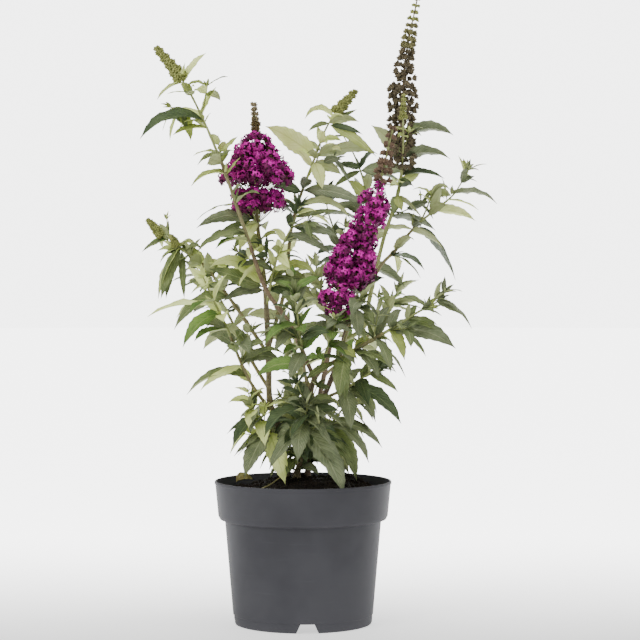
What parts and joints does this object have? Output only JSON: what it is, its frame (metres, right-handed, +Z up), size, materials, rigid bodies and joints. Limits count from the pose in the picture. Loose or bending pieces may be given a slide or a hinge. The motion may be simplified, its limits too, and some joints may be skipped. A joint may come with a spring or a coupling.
{
  "type": "potted butterfly bush",
  "caption": "Young many-caned flowering shrub with lance-shaped opposite leaves, magenta flower spikes and a tall spent spike, in a round grey nursery pot of compost.",
  "frame": {"origin": "on the floor, in the middle of the pot's flat underside, on the pot's axis", "axes": "+Z up along the pot's axis; +X to the right of the side it is shown from, and -Y towards the viewer"},
  "size_m": [0.4655, 0.3447, 0.8094],
  "materials": {
    "pot_plastic": "moulded dark grey plastic, faintly satin",
    "compost": "damp crumbly dark compost, matte",
    "bark": "thin brown-grey bark, green on young shoots",
    "leaf": "felted grey-green above, pale beneath, matte",
    "blossom": "magenta florets, soft matte",
    "spent_flower": "dry dark brown calyces and seed cases"
  },
  "bodies": {
    "root": {"pot": "pot_plastic", "compost": "compost", "cane_left": "bark", "cane_right": "bark", "cane_front": "bark", "cane_back": "bark", "bough_top_left": "bark", "bough_left": "bark", "bough_left_front": "bark", "bough_left_back": "bark", "bough_top_centre": "bark", "bough_centre_front": "bark", "bough_tall": "bark", "bough_right": "bark", "bough_lower_bloom": "bark", "bough_front": "bark", "bough_front_right": "bark", "bough_low_right": "bark", "bough_back_left": "bark", "bough_back": "bark", "bough_back_right": "bark", "bough_back_centre": "bark", "bloom_centre": "blossom", "bloom_right": "blossom", "bloom_lower": "blossom", "spent_spike": "spent_flower", "foliage_lower_right": "leaf", "foliage_back_top": "leaf", "foliage_top_left": "leaf", "foliage_left": "leaf", "foliage_left_front": "leaf", "foliage_left_back": "leaf", "foliage_top_centre": "leaf", "foliage_centre_front": "leaf", "foliage_right": "leaf", "foliage_front": "leaf", "foliage_front_right": "leaf", "foliage_low_right": "leaf", "foliage_back_left": "leaf", "foliage_back": "leaf", "foliage_back_right": "leaf", "foliage_back_centre": "leaf", "foliage_foot_left": "leaf", "foliage_foot_front": "leaf", "foliage_foot_right": "leaf", "foliage_foot_back": "leaf"}
  },
  "joints": []
}
